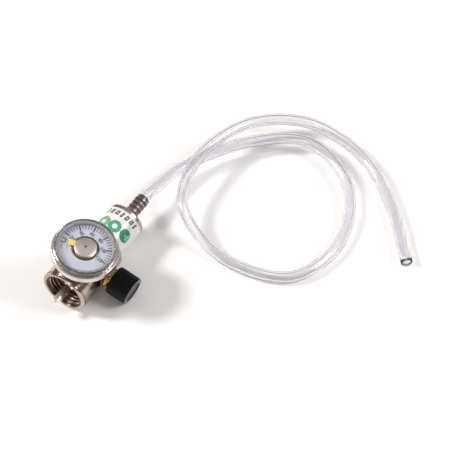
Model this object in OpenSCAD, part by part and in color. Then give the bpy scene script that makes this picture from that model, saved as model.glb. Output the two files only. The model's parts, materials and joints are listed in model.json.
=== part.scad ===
// Fixed-flow regulator for a disposable gas cylinder, with gauge, on/off knob and hose.
// Millimetres. The origin is the centre of the cylinder socket's mouth, +X runs along the
// body to the hose barb, +Z is up and the floor is one body radius below the origin.

/* [Body] */
// Outside diameter of the valve body
body_d = 31.75; // [31:0.05:33]
// Length of the valve body's full-diameter part
body_len = 42; // [41:0.25:42]
// Outside diameter of the outlet bonnet
bonnet_d = 26.4; // [25.8:0.1:27]
// Distance from the socket's mouth to the bonnet's end face
outlet_x = 70; // [70:0.5:74]

/* [Cylinder socket] */
// Major diameter of the socket's thread
thread_d = 25.4; // [25.2:0.1:25.6]
// Pitch of the socket's thread
thread_pitch = 1.27; // [1.2:0.01:1.3]
// Depth of the socket
socket_depth = 14.2; // [14.2:0.1:14.4]
// Diameter of the probe
probe_d = 5.4; // [5:0.1:6]
// How far the probe stands out of the socket
probe_out = 8.7; // [6:0.1:10]

/* [Gauge] */
// Distance of the gauge's axis from the socket's mouth
gauge_x = 20; // [19.6:0.1:20.4]
// Outside diameter of the gauge
gauge_d = 43; // [42:0.5:44]
// Height of the lens above the body's axis
gauge_h = 31.5; // [31:0.1:32.5]
// Angle of the pointer at rest, from +X towards +Y
pointer_zero = 104; // [90:1:120]

/* [Knob] */
// Distance of the knob's axis from the socket's mouth
knob_x = 27.4; // [27:0.1:27.6]
// Outside diameter of the knob
knob_d = 19.2; // [18.6:0.1:19.8]
// Length of the knob
knob_len = 15; // [14:0.1:16]
// Distance from the body's axis to the knob's inner face, valve shut
knob_near = 19.8; // [19.6:0.1:20.4]

/* [Hose] */
// Outside diameter of the hose, 5/16 inch
hose_d = 7.94; // [7.8:0.01:8.2]
// Bore of the hose, 3/16 inch
hose_bore = 4.76; // [4.6:0.01:4.9]

/* [Hidden] */
$fn = 72;

// Clearances: a running fit, a seated fit, and the overshoot of a cut
run_gap = 0.05;
seat_gap = 0.02;
cut = 0.5;

body_r = body_d / 2;
bonnet_r = bonnet_d / 2;
bonnet_x = body_len + 0.05;
probe_r = probe_d / 2;
knob_r = knob_d / 2;
knob_far = knob_near + knob_len;
gauge_r = gauge_d / 2;
hose_r = hose_d / 2;
hose_in = hose_bore / 2;

// The part lies on the body and on the knob's rim, so it is rolled about X by this angle
roll = asin(body_r / norm([knob_far, knob_r])) - atan(knob_r / knob_far);

// Heights over the body's axis: spot faces, gauge case, dial and lens
flat_h = 14.6;
gauge_seat_h = 15.2;
port_floor = 7;
case_back = gauge_h - 9.1;
dial_h = gauge_h - 3.5;
skirt_h = gauge_h - 3.9;
window_h = gauge_h - 1;
hub_top = gauge_h - 1.2;

// Stations along X
probe_thread_end = socket_depth + 4.1;
filter_end = socket_depth + 5.8;
chamber_end = 23.6;
guide_start = 40;
spigot_end = body_len + 5.6;
cylinder_end = outlet_x - 7.5;

// Piston stations: the stem's tip, its seal groove and the head
piston_tip = guide_start + 1.6;
stem_groove_low = piston_tip + 3.6;
stem_groove_high = piston_tip + 4.9;
head_low = spigot_end + 7.4;
head_high = cylinder_end - 2.5;
seat_pocket = 1.3;
seat_pocket_r = 1.9;

// Outlet: the barb's thread in the bonnet, the gas bore behind it and the orifice disc
barb_thread_r = 4.87;
barb_port = 5.4;
outlet_bore_r = 1.5;
orifice_r = 2.5;
orifice_t = 1.6;

// Valve stem: the middle of its seal collar, its outer end and the knob's set screw
stem_seal_z = 11;
stem_end = knob_far - 4;
screw_r = 1.5;
screw_z = knob_near + 4.5;

// Radii inside the body
thread_minor_r = thread_d / 2 - 0.6;
chamber_r = 3;
probe_thread_r = 3.4;
guide_r = 3.06;
spigot_r = 10.6;
head_r = 10.4;
gas_r = 0.9;
nozzle_r = 1.7;
port_r = 5;
valve_port_r = 5.6;
valve_chamber_r = 4.6;
valve_floor = 2;
seat_r = 2.4;
stem_r = 2;
seal_bore_r = 3.45;

// Radii inside the gauge: the lens, which leaves a ledge of the case bare round it, the
// inside of its skirt, the case's neck and the ring that frames the dial
lens_r = gauge_r - 1.4;
skirt_in_r = lens_r - 0.86;
neck_r = lens_r - 1.45;
neck_in_r = neck_r - 0.65;
frame_r = gauge_r - 4.6;

// The dial's underside and the top of the foot under the pressure coil
dial_low = dial_h - 0.5;
foot_top = case_back + 2.35;

module rolled() rotate([roll, 0, 0]) children();
module along_x() rotate([0, 90, 0]) children();
// Gauge frame: Z leaves the body through the gauge's centre
module on_gauge() rolled() translate([gauge_x, 0, 0]) children();
// Knob frame: Z leaves the body through the knob's centre
module on_knob() rolled() translate([knob_x, 0, 0]) rotate([90, 0, 0]) children();

module turned(outline) rotate_extrude() polygon(outline);

module ring(inner_r, outer_r, low, high)
    turned([[inner_r, low], [outer_r, low], [outer_r, high], [inner_r, high]]);

module rod(r, low, high) translate([0, 0, low]) cylinder(r = r, h = high - low);

module oring(centre_r, wire_r, z)
    translate([0, 0, z]) rotate_extrude() translate([centre_r, 0]) circle(wire_r, $fn = 32);

// Points on an arc in a turned outline, from angle a to angle b about [cr, cz]
function arc(cr, cz, r, a, b, n = 6) =
    [for (i = [0:n]) [cr + r * cos(a + (b - a) * i / n), cz + r * sin(a + (b - a) * i / n)]];

// ---------------------------------------------------------------- valve body

module body_outline_solid() {
    lip = 1.4;
    groove_end = 2.3;
    groove_depth = 0.7;
    edge = 0.6;
    turned([[0, 0], [body_r - edge, 0], [body_r, edge], [body_r, lip],
        [body_r - groove_depth, lip], [body_r - groove_depth, groove_end],
        [body_r, groove_end], [body_r, body_len - edge], [body_r - edge, body_len],
        [spigot_r, body_len], [spigot_r, spigot_end - edge],
        [spigot_r - edge, spigot_end], [0, spigot_end]]);
}

// Socket with a stepped mouth, ring-shaped thread grooves and a relief at its floor
module socket_cut() {
    step = 0.7;
    mouth = 1.4;
    first = 1.5;
    turns = 7;
    crest = thread_pitch * 0.12;
    relief_start = 11.4;
    relief_r = thread_d / 2 + 0.2;
    major_r = thread_d / 2;
    grooves = [for (i = [0:turns - 1]) each [
        [thread_minor_r, first + i * thread_pitch + crest],
        [major_r, first + (i + 0.42) * thread_pitch],
        [major_r, first + (i + 0.58) * thread_pitch],
        [thread_minor_r, first + (i + 1) * thread_pitch - crest]]];
    turned(concat([[0, -cut], [major_r + 0.8, -cut], [major_r + 0.8, step],
        [major_r + 0.1, step], [thread_minor_r, mouth]],
        grooves,
        [[thread_minor_r, relief_start], [relief_r, relief_start],
        [relief_r, socket_depth], [0, socket_depth]]));
}

// Guide bore for the piston's stem, with the nozzle left standing on its floor
module guide_cut() {
    nozzle_h = 0.6;
    turned([[nozzle_r, guide_start], [guide_r, guide_start], [guide_r, spigot_end + cut],
        [0, spigot_end + cut], [0, guide_start + nozzle_h], [nozzle_r, guide_start + nozzle_h]]);
}

module bonnet_oring_groove() ring(spigot_r - 1.4, spigot_r + cut, body_len + 1, body_len + 2.8);

module gauge_port() {
    face_r = 7.2;
    passage_r = 1.2;
    rod(face_r, gauge_seat_h, body_r + cut);
    rod(port_r, port_floor, body_r);
    rod(passage_r, 0, port_floor + cut);
}

module valve_port() {
    face_r = 8.4;
    recess_r = 6.64;
    recess_depth = 1.1;
    valve_port_depth = 6.4;
    crossing_z = 0.4;
    rod(face_r, flat_h, body_r + cut);
    rod(recess_r, flat_h - recess_depth, body_r);
    rod(valve_port_r, valve_floor + valve_port_depth, body_r);
    rod(valve_chamber_r, valve_floor, body_r);
    rod(seat_r, crossing_z, valve_floor + cut);
}

module valve_body() color([0.80, 0.75, 0.69]) rolled() difference() {
    passage_r = 1;
    along_x() body_outline_solid();
    along_x() socket_cut();
    along_x() rod(probe_thread_r, socket_depth - cut, filter_end);
    along_x() rod(chamber_r, filter_end - cut, chamber_end);
    along_x() rod(passage_r, knob_x - 0.8, guide_start + 1);
    along_x() guide_cut();
    along_x() bonnet_oring_groove();
    translate([gauge_x, 0, 0]) gauge_port();
    translate([knob_x, 0, 0]) rotate([90, 0, 0]) valve_port();
}

module inlet_probe() color([0.83, 0.79, 0.74]) rolled() along_x() difference() {
    step_x = 4.5;
    step_r = probe_r + 0.9;
    tip_r = probe_r - 0.8;
    flange_r = 5.2;
    flange_x = socket_depth - 1.8;
    probe_bore_r = 0.8;
    cross_hole_r = 0.6;
    turned([[0, -probe_out], [tip_r, -probe_out], [probe_r, -probe_out + 0.8],
        [probe_r, step_x], [step_r, step_x + 0.9], [step_r, flange_x],
        [flange_r, flange_x], [flange_r, socket_depth - seat_gap],
        [probe_thread_r - seat_gap, socket_depth - seat_gap],
        [probe_thread_r - seat_gap, probe_thread_end], [0, probe_thread_end]]);
    rod(probe_bore_r, -probe_out - cut, probe_thread_end + cut);
    translate([0, 0, 1 - probe_out / 2]) rotate([90, 0, 0])
        cylinder(r = cross_hole_r, h = 2 * (probe_r + cut), center = true);
}

module socket_gasket() color([0.12, 0.12, 0.13]) rolled() along_x()
    ring(5.5, thread_minor_r - 0.3, socket_depth - 1.7, socket_depth - seat_gap);

module inlet_filter() color([0.72, 0.56, 0.34]) rolled() along_x()
    rod(probe_thread_r - seat_gap, probe_thread_end + 0.1, filter_end - seat_gap);

// ------------------------------------------------------------ on/off valve

module valve_seat() color([0.93, 0.91, 0.85]) on_knob()
    ring(0.8, seat_r - seat_gap, 0.4 + seat_gap, valve_floor - seat_gap);

// Stem with a cone tip, a seal collar and a neck that carries the knob
module valve_stem() color([0.78, 0.78, 0.80]) on_knob() difference() {
    tip_z = valve_floor + 0.05;
    tip_r = 1.6;
    collar_r = seal_bore_r - run_gap;
    collar_half = 1.6;
    groove_half = 0.6;
    groove_r = collar_r - 1;
    flat_depth = 0.5;
    flat_len = 6;
    turned([[0, tip_z - 0.3], [0.5, tip_z - 0.3], [tip_r, tip_z + 1.4],
        [tip_r, stem_seal_z - collar_half], [collar_r, stem_seal_z - collar_half],
        [collar_r, stem_seal_z - groove_half], [groove_r, stem_seal_z - groove_half],
        [groove_r, stem_seal_z + groove_half], [collar_r, stem_seal_z + groove_half],
        [collar_r, stem_seal_z + collar_half], [stem_r, stem_seal_z + collar_half],
        [stem_r, stem_end - 0.4], [stem_r - 0.4, stem_end], [0, stem_end]]);
    translate([stem_r - flat_depth, -cut - stem_r, knob_near + 1.5])
        cube([stem_r, 2 * (stem_r + cut), flat_len]);
}

module stem_oring() color([0.10, 0.10, 0.11]) on_knob()
    oring(seal_bore_r - 0.52, 0.48, stem_seal_z);

// Hexagon gland that holds the stem's seal collar in the body
module valve_gland() color([0.80, 0.62, 0.28]) on_knob() difference() {
    hex_r = 7.4;
    hex_low = flat_h + seat_gap;
    hex_high = knob_near - 1.6;
    boss_r = 4.6;
    boss_high = knob_near - 0.6;
    union() {
        rod(valve_port_r - seat_gap, valve_floor + 6.5, hex_low + cut);
        intersection() {
            translate([0, 0, hex_low]) cylinder(r = hex_r, h = hex_high - hex_low, $fn = 6);
            turned([[0, hex_low], [hex_r - 0.8, hex_low], [hex_r + 0.2, hex_low + 0.6],
                [hex_r + 0.2, hex_high - 0.6], [hex_r - 0.8, hex_high], [0, hex_high]]);
        }
        rod(boss_r, hex_high - cut, boss_high);
    }
    rod(seal_bore_r, valve_floor, flat_h - 0.6);
    rod(stem_r + run_gap, flat_h - 1, knob_near);
}

module gland_oring() color([0.10, 0.10, 0.11]) on_knob()
    oring(valve_port_r + 0.52, 0.49, flat_h - 0.55);

// Knurled knob: a toothed band between bevelled ends, a stem bore and a set-screw hole
module knob() color([0.05, 0.05, 0.055]) on_knob() difference() {
    teeth = 60;
    knurl = 0.3;
    bevel = 0.8;
    core_r = knob_r - knurl - 0.05;
    recess_r = 5.4;
    recess_depth = 1.2;
    dish_r = knob_r - 2.6;
    dish_depth = 0.5;
    union() {
        translate([0, 0, knob_near + bevel]) linear_extrude(knob_len - 2 * bevel) polygon([
            for (i = [0:2 * teeth - 1])
            let (r = i % 2 == 0 ? knob_r : knob_r - knurl)
            [r * cos(180 * i / teeth), r * sin(180 * i / teeth)]]);
        turned([[0, knob_near], [core_r - bevel, knob_near], [core_r, knob_near + bevel + 0.1],
            [core_r, knob_far - bevel - 0.1], [core_r - bevel, knob_far], [0, knob_far]]);
    }
    rod(recess_r, knob_near - cut, knob_near + recess_depth);
    rod(stem_r + seat_gap, knob_near, stem_end + 0.1);
    rod(dish_r, knob_far - dish_depth, knob_far + cut);
    translate([0, 0, screw_z]) along_x() cylinder(r = screw_r, h = knob_r + cut);
}

module knob_set_screw() color([0.25, 0.25, 0.27]) on_knob()
    translate([0, 0, screw_z]) along_x() difference() {
        top = knob_r - 0.9;
        key_r = 0.85;
        key_depth = 1.5;
        rod(screw_r - seat_gap, stem_r - 0.45, top);
        translate([0, 0, top - key_depth]) cylinder(r = key_r, h = 2 * key_depth, $fn = 6);
    }

// --------------------------------------------------------------- regulator

module outlet_bonnet() color([0.80, 0.75, 0.69]) rolled() difference() {
    edge = 1.6;
    wall_r = spigot_r + run_gap;
    bore_r = head_r + run_gap;
    vent_r = 0.8;
    along_x() turned(concat(
        [[wall_r, bonnet_x], [bonnet_r - 0.5, bonnet_x], [bonnet_r, bonnet_x + 0.5]],
        arc(bonnet_r - edge, outlet_x - edge, edge, 0, 90),
        [[0, outlet_x], [0, cylinder_end], [bore_r, cylinder_end],
        [bore_r, spigot_end + 0.5], [wall_r, spigot_end + 0.5]]));
    along_x() rod(orifice_r + seat_gap, cylinder_end - cut, cylinder_end + orifice_t);
    along_x() rod(outlet_bore_r, cylinder_end + 1, outlet_x - barb_port + cut);
    along_x() rod(barb_thread_r, outlet_x - barb_port, outlet_x + cut);
    translate([spigot_end + 2.4, 0, -bonnet_r]) cylinder(r = vent_r, h = 6, center = true);
}

module bonnet_oring() color([0.10, 0.10, 0.11]) rolled() along_x()
    oring(spigot_r - 0.69, 0.68, body_len + 1.9);

// Wrap-round label, open along the underside where the bonnet's vent hole is
module label() color([0.95, 0.95, 0.93]) rolled() difference() {
    label_t = 0.12;
    low = bonnet_x + 2.4;
    high = outlet_x - 3.6;
    gap_w = 9;
    along_x() ring(bonnet_r + seat_gap, bonnet_r + label_t, low, high);
    translate([low - cut, -gap_w / 2, -bonnet_r - 1]) cube([high - low + 2 * cut, gap_w, 4]);
}

// Hollow piston: stem with a seat pocket and cross holes, grooved head, stop boss
module piston() color([0.79, 0.76, 0.68]) rolled() difference() {
    tip_r = 2.4;
    neck_end = piston_tip + 2.8;
    stem_rad = guide_r - 0.06;
    stem_groove_r = 2.1;
    ring_land = 1.6;
    head_groove_r = head_r - 1.4;
    boss_r = 4;
    boss_end = cylinder_end - 0.15;
    cross_hole_r = 0.5;
    along_x() turned([[0, piston_tip], [tip_r, piston_tip], [tip_r, neck_end],
        [stem_rad, neck_end], [stem_rad, stem_groove_low], [stem_groove_r, stem_groove_low],
        [stem_groove_r, stem_groove_high], [stem_rad, stem_groove_high],
        [stem_rad, head_low], [head_r, head_low], [head_r, head_low + ring_land],
        [head_groove_r, head_low + ring_land], [head_groove_r, head_high - ring_land],
        [head_r, head_high - ring_land], [head_r, head_high], [boss_r, head_high],
        [boss_r, boss_end], [0, boss_end]]);
    along_x() rod(seat_pocket_r, piston_tip - cut, piston_tip + seat_pocket);
    along_x() rod(gas_r, piston_tip + 1.9, boss_end + cut);
    translate([piston_tip + 2.3, 0, 0]) cylinder(r = cross_hole_r, h = 8, center = true);
    translate([head_high + 1, -6, -0.8]) cube([3, 12, 1.6]);
}

module piston_seat() color([0.92, 0.92, 0.90]) rolled() along_x()
    rod(seat_pocket_r - seat_gap, piston_tip, piston_tip + seat_pocket - run_gap);

module piston_stem_oring() color([0.10, 0.10, 0.11]) rolled() along_x()
    oring(guide_r - 0.5, 0.44, (stem_groove_low + stem_groove_high) / 2);

module piston_head_oring() color([0.10, 0.10, 0.11]) rolled() along_x()
    oring(head_r - 0.68, 0.66, (head_low + head_high) / 2);

// Round tube swept along a list of points: rings of n corners joined by quads
function ring_at(p, side, up, r, n) = [for (k = [0:n - 1])
    p + side * (r * cos(360 * k / n)) + up * (r * sin(360 * k / n))];

function wall_faces(first, rings, n, outward) = [for (i = [0:rings - 2], k = [0:n - 1])
    let (a = first + i * n + k, b = first + i * n + (k + 1) % n)
    outward ? [a, a + n, b + n, b] : [a, b, b + n, a + n]];

// Compression spring round the piston's stem, ground flat by stopping short of both seats
module main_spring() color([0.62, 0.63, 0.66]) rolled() along_x() {
    wire_r = 0.7;
    coil_r = 6.6;
    turns = 4;
    steps = 80;
    sides = 10;
    slack = 0.06;
    low = spigot_end + wire_r + slack;
    high = head_low - wire_r - slack;
    rings = [for (i = [0:steps]) let (a = 360 * turns * i / steps)
        ring_at([coil_r * cos(a), coil_r * sin(a), low + (high - low) * i / steps],
            [cos(a), sin(a), 0], [0, 0, 1], wire_r, sides)];
    ends = [[for (k = [0:sides - 1]) k],
        [for (k = [0:sides - 1]) steps * sides + sides - 1 - k]];
    polyhedron([for (r = rings) each r],
        concat(wall_faces(0, steps + 1, sides, false), ends));
}

module flow_orifice() color([0.78, 0.58, 0.30]) rolled() along_x()
    ring(0.3, orifice_r, cylinder_end + seat_gap, cylinder_end + orifice_t - seat_gap);

// ---------------------------------------------------------------- hose

barb_start = outlet_x + 5.8;
barb_pitch = 3.5;
barbs = 4;
barb_low_r = 2.75;
barb_high_r = 3.3;
barb_end = barb_start + barbs * barb_pitch;
sleeve_end = barb_end + 4;

module hose_barb() color([0.66, 0.60, 0.53]) rolled() along_x() difference() {
    hex_r = 5.4;
    hex_low = outlet_x + seat_gap;
    hex_high = outlet_x + 2.6;
    foot = outlet_x - barb_port + 0.1;
    foot_rad = barb_thread_r - seat_gap;
    shoulder_r = 4.4;
    ridges = [for (i = [0:barbs - 1]) each [
        [barb_low_r, barb_start + i * barb_pitch],
        [barb_high_r, barb_start + i * barb_pitch],
        [barb_high_r, barb_start + i * barb_pitch + 0.5],
        [barb_low_r, barb_start + (i + 1) * barb_pitch - 0.1]]];
    union() {
        turned(concat([[0, foot], [foot_rad, foot], [foot_rad, hex_low + 0.2],
            [shoulder_r, hex_low + 0.2], [shoulder_r, hex_high - 0.2],
            [barb_low_r, hex_high - 0.2]], ridges, [[0, barb_end - 0.1]]));
        translate([0, 0, hex_low]) cylinder(r = hex_r, h = hex_high - hex_low, $fn = 6);
    }
    rod(outlet_bore_r, foot - cut, barb_end + cut);
}

// The hose's centre line: a smooth curve through these points, seen from above. It leaves
// the barb, makes one loop of about 110 mm, crosses over itself and ends on the floor.
hose_points = [[sleeve_end, 0, 0], [132, -6, -4.4], [171, -30, -4], [195, -66, -5.4],
    [178, -106, -9.4], [136, -124, -11.8], [95, -111, -11.9], [84, -67, -11.6],
    [98, -26, -0.4], [137, -13.5, 4.9], [183, -25, 1.2], [209, -59, -3.7],
    [205, -103, -8.4], [180, -139, -11.4], [155.1, -161.2, -11.9]];
hose_tail = 12;
hose_steps = 5;
hose_sides = 16;

function blend(a, b, c, d, t) = (2 * b + (c - a) * t + (2 * a - 5 * b + 4 * c - d) * t * t
    + (3 * b - a - 3 * c + d) * t * t * t) / 2;

function path_point(points, i, t) = let (last = len(points) - 1,
    before = i == 0 ? 2 * points[0] - points[1] : points[i - 1],
    after = i + 2 > last ? 2 * points[last] - points[last - 1] : points[i + 2])
    blend(before, points[i], points[i + 1], after, t);

// Keeps the hose's centre at least one hose radius over the floor
function above_floor(p) = [p.x, p.y, max(p.z, hose_r - body_r)];

function unit(v) = v / norm(v);

hose_line = [for (i = [0:len(hose_points) - 2], s = [0:hose_steps - 1])
    above_floor(path_point(hose_points, i, s / hose_steps))];
hose_last = above_floor(hose_points[len(hose_points) - 1]);
tail_raw = hose_last - hose_line[len(hose_line) - 1];
tail_way = unit([tail_raw.x, tail_raw.y, 0]);

// Straight starts and ends lie inside the exact sleeve and tail tubes
hose_path = concat([[sleeve_end - 2, 0, 0]], hose_line, [hose_last, hose_last + tail_way * 2]);

function way(path, i) = unit(path[min(i + 1, len(path) - 1)] - path[max(i - 1, 0)]);

module hose_sweep() {
    n = hose_sides;
    skin = 0.03;
    bore_skin = 0.08;
    count = len(hose_path);
    outer = [for (i = [0:count - 1]) let (w = way(hose_path, i), side = unit(cross([0, 0, 1], w)))
        ring_at(hose_path[i], side, cross(w, side), hose_r - skin, n)];
    inner = [for (i = [0:count - 1]) let (w = way(hose_path, i), side = unit(cross([0, 0, 1], w)))
        ring_at(hose_path[i], side, cross(w, side), hose_in + bore_skin, n)];
    shift = count * n;
    caps = [for (k = [0:n - 1], e = [0, 1]) let (j = (k + 1) % n, o = e * (count - 1) * n)
        e == 0 ? [o + k, o + j, shift + o + j, shift + o + k]
        : [o + j, o + k, shift + o + k, shift + o + j]];
    polyhedron([for (r = concat(outer, inner)) each r],
        concat(wall_faces(0, count, n, true), wall_faces(shift, count, n, false), caps));
}

// Hose stretched over the barb's ridges
module hose_sleeve() {
    over = 0.9;
    mouth_x = outlet_x + 3.2;
    wall_in = barb_high_r + 0.01;
    turned([[wall_in, mouth_x], [hose_r + over, mouth_x], [hose_r + over, barb_end - 0.6],
        [hose_r, barb_end + 2], [hose_r, sleeve_end], [hose_in, sleeve_end],
        [hose_in, barb_end + 1.4], [wall_in, barb_end]]);
}

module hose() color([0.86, 0.85, 0.92, 0.5]) {
    rolled() along_x() hose_sleeve();
    hose_sweep();
    translate(hose_last) rotate([0, 0, atan2(tail_way.y, tail_way.x)]) along_x()
        ring(hose_in, hose_r, 0, hose_tail);
}

// --------------------------------------------------------------- gauge

// Threaded stem with a hexagon, a case collar, the coil's foot and the centre post
module gauge_stem() color([0.80, 0.62, 0.28]) on_gauge() difference() {
    hex_r = 6.6;
    collar_r = 4.4;
    foot_r = 6.9;
    foot_low = case_back + 1.65;
    post_r = 1;
    gas_bore_r = 0.8;
    union() {
        rod(port_r - seat_gap, port_floor + 0.2, gauge_seat_h + cut);
        translate([0, 0, gauge_seat_h + seat_gap])
            cylinder(r = hex_r, h = case_back - gauge_seat_h - 2 * seat_gap, $fn = 6);
        rod(collar_r, case_back - cut, foot_low + cut);
        rod(foot_r, foot_low, foot_top);
        rod(post_r, foot_top - cut, hub_top);
    }
    rod(gas_bore_r, port_floor - cut, case_back + 1.2);
}

// Turned cup: a wide base, a rounded ledge round the lens and a neck that seats the dial
module gauge_case() color([0.82, 0.77, 0.71]) on_gauge() {
    wall = 0.8;
    edge = 0.7;
    collar_hole_r = 4.45;
    shoulder = skirt_h - 0.1;
    seat_in_r = neck_in_r - 0.85;
    neck_top = window_h - 0.1;
    turned(concat([[collar_hole_r, case_back], [gauge_r - wall, case_back],
        [gauge_r, case_back + wall]],
        arc(gauge_r - edge, shoulder - edge, edge, 0, 90, 4),
        [[neck_r, shoulder], [neck_r, neck_top], [neck_in_r, neck_top],
        [neck_in_r, dial_low - seat_gap], [seat_in_r, dial_low - seat_gap],
        [seat_in_r, dial_low - wall], [gauge_r - 2 * wall, dial_low - wall],
        [gauge_r - 2 * wall, case_back + 0.9], [collar_hole_r, case_back + 0.9]]));
}

// Open spring clip round the stem's collar that holds the case down
module case_clip() color([0.55, 0.55, 0.57]) on_gauge() difference() {
    clip_in_r = 4.42;
    clip_r = 7;
    opening = 2.4;
    ring(clip_in_r, clip_r, case_back + 0.92, case_back + 1.6);
    translate([0, -opening / 2, case_back]) cube([clip_r + cut, opening, 3]);
}

// Helical pressure tube round the centre post, standing on the stem's foot
module bourdon_coil() color([0.76, 0.55, 0.27]) on_gauge() {
    coil_r = 6.4;
    half_w = 0.45;
    tall = 1.2;
    turns = 2.5;
    steps = 70;
    sides = 8;
    low = foot_top + 0.01 + half_w * tall;
    high = hub_top - 2.1;
    rings = [for (i = [0:steps]) let (a = 360 * turns * i / steps)
        ring_at([coil_r * cos(a), coil_r * sin(a), low + (high - low) * i / steps],
            [cos(a), sin(a), 0], [0, 0, tall], half_w, sides)];
    ends = [[for (k = [0:sides - 1]) k],
        [for (k = [0:sides - 1]) steps * sides + sides - 1 - k]];
    polyhedron([for (r = rings) each r],
        concat(wall_faces(0, steps + 1, sides, false), ends));
}

// Printed plate, open in the middle for the cap and the pressure coil
module dial() color([0.85, 0.88, 0.92]) on_gauge()
    ring(8.8, neck_in_r - run_gap, dial_low, dial_h);

// Pale ring between the dial and the lens's window
module dial_retainer() color([0.80, 0.80, 0.82]) on_gauge() {
    edge = 0.4;
    top = window_h - 0.04;
    turned([[frame_r, dial_h + seat_gap], [neck_in_r - 0.05, dial_h + seat_gap],
        [neck_in_r - 0.05, top], [frame_r + edge, top], [frame_r, top - edge]]);
}

// Black sealing band round the case's neck, inside the lens's skirt
module lens_seal() color([0.06, 0.06, 0.07]) on_gauge()
    ring(neck_r + seat_gap, skirt_in_r - 0.04, skirt_h, window_h - 0.05);

// Fat tab that shows under the cap's edge
module pointer() color([0.93, 0.67, 0.16]) on_gauge() rotate([0, 0, pointer_zero]) {
    low = hub_top - 1.45;
    high = hub_top - 1.15;
    tab_end = 11.2;
    tab_half = 1.9;
    tip_r = 1.2;
    difference() {
        union() {
            rod(3, low, high);
            translate([0, 0, low]) linear_extrude(high - low) polygon(concat(
                [[0, -tip_r], [6, -tab_half], [tab_end - tip_r, -tab_half]],
                [for (a = [-60:30:60])
                    [tab_end - tip_r + tip_r * cos(a), tab_half * sin(a) / sin(60)]],
                [[tab_end - tip_r, tab_half], [6, tab_half], [0, tip_r]]));
        }
        rod(1 + run_gap, low - cut, high + cut);
    }
}

// Shallow cone that turns with the pointer
module pointer_cap() color([0.80, 0.70, 0.64]) on_gauge() {
    cap_r = 7.1;
    skirt = 1.1;
    bore_r = 1 + run_gap;
    turned([[bore_r, hub_top - skirt], [cap_r, hub_top - skirt], [cap_r, hub_top - skirt + 0.35],
        [bore_r + 0.55, hub_top + 0.1], [bore_r, hub_top + 0.1]]);
}

// Snap-on lens: a clear cap with a rounded rim and a skirt outside the case's neck
module gauge_lens() color([0.85, 0.88, 0.92, 0.35]) on_gauge() {
    rim = 0.8;
    turned(concat([[0, window_h], [skirt_in_r, window_h], [skirt_in_r, skirt_h],
        [lens_r, skirt_h]], arc(lens_r - rim, gauge_h - rim, rim, 0, 90, 4), [[0, gauge_h]]));
}

valve_body();
inlet_probe();
socket_gasket();
inlet_filter();
valve_seat();
valve_stem();
stem_oring();
valve_gland();
gland_oring();
knob();
knob_set_screw();
outlet_bonnet();
bonnet_oring();
label();
piston();
piston_seat();
piston_stem_oring();
piston_head_oring();
main_spring();
flow_orifice();
hose_barb();
hose();
gauge_stem();
gauge_case();
case_clip();
bourdon_coil();
dial();
dial_retainer();
lens_seal();
pointer();
pointer_cap();
gauge_lens();
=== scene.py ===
"""Looks for a fixed-flow gas-cylinder regulator with gauge, on/off knob and clear hose."""
import json
import math

import bmesh
import bpy
from mathutils import Matrix, Vector


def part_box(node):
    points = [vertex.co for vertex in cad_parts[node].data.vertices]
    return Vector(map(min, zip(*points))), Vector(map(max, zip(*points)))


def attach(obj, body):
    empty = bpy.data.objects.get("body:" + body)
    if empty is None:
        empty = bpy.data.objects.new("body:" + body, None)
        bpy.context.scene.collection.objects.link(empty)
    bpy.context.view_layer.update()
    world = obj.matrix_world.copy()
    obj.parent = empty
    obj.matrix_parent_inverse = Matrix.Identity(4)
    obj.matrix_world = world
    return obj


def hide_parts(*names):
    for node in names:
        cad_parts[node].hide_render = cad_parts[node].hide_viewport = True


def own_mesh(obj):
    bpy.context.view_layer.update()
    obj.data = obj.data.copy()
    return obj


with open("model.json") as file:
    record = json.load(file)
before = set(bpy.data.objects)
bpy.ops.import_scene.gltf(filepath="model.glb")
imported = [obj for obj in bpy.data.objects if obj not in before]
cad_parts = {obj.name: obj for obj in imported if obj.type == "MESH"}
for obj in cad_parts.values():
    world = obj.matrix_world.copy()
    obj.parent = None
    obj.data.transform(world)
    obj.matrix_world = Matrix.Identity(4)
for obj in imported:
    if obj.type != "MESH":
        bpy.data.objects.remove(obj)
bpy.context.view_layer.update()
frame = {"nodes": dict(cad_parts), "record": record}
MM = 0.001

# ------------------------------------------------------------------ frames

JOINTS = {joint["name"]: joint for joint in frame["record"]["behaviour"]["joints"]}
POINTER = JOINTS["pointer_sweep"]
TURN = JOINTS["knob_turn"]
GAUGE_OUT = -Vector(POINTER["axis"])
ROLL = math.atan2(-GAUGE_OUT.y, GAUGE_OUT.z)
ROLLED = Matrix.Rotation(ROLL, 4, "X")
AXIS_X = ROLLED @ Matrix.Rotation(math.pi / 2, 4, "Y")
GAUGE = ROLLED @ Matrix.Translation((POINTER["pos_m"][0], 0, 0))
KNOB = ROLLED @ Matrix.Translation((TURN["pos_m"][0], 0, 0)) @ Matrix.Rotation(math.pi / 2, 4, "X")
FLOOR_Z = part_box("valve_body")[0][2]


def span(node, place):
    """Lowest and highest z and largest radius of a CAD node, in mm, in a local frame."""
    inverse = place.inverted()
    points = [inverse @ v.co for v in frame["nodes"][node].data.vertices]
    radius = max(math.hypot(p.x, p.y) for p in points)
    return min(p.z for p in points) / MM, max(p.z for p in points) / MM, radius / MM


# ------------------------------------------------------------------ meshes

def finish_mesh(name, bm, place, sharp=35.0):
    """Turns a bmesh in local millimetres into an object whose vertices are in the row frame."""
    bmesh.ops.recalc_face_normals(bm, faces=bm.faces)
    mesh = bpy.data.meshes.new(name)
    bm.to_mesh(mesh)
    bm.free()
    mesh.transform(place @ Matrix.Diagonal((MM, MM, MM, 1)))
    mesh.shade_smooth()
    mesh.set_sharp_from_angle(angle=math.radians(sharp))
    obj = bpy.data.objects.new(name, mesh)
    bpy.context.scene.collection.objects.link(obj)
    return obj


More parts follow.
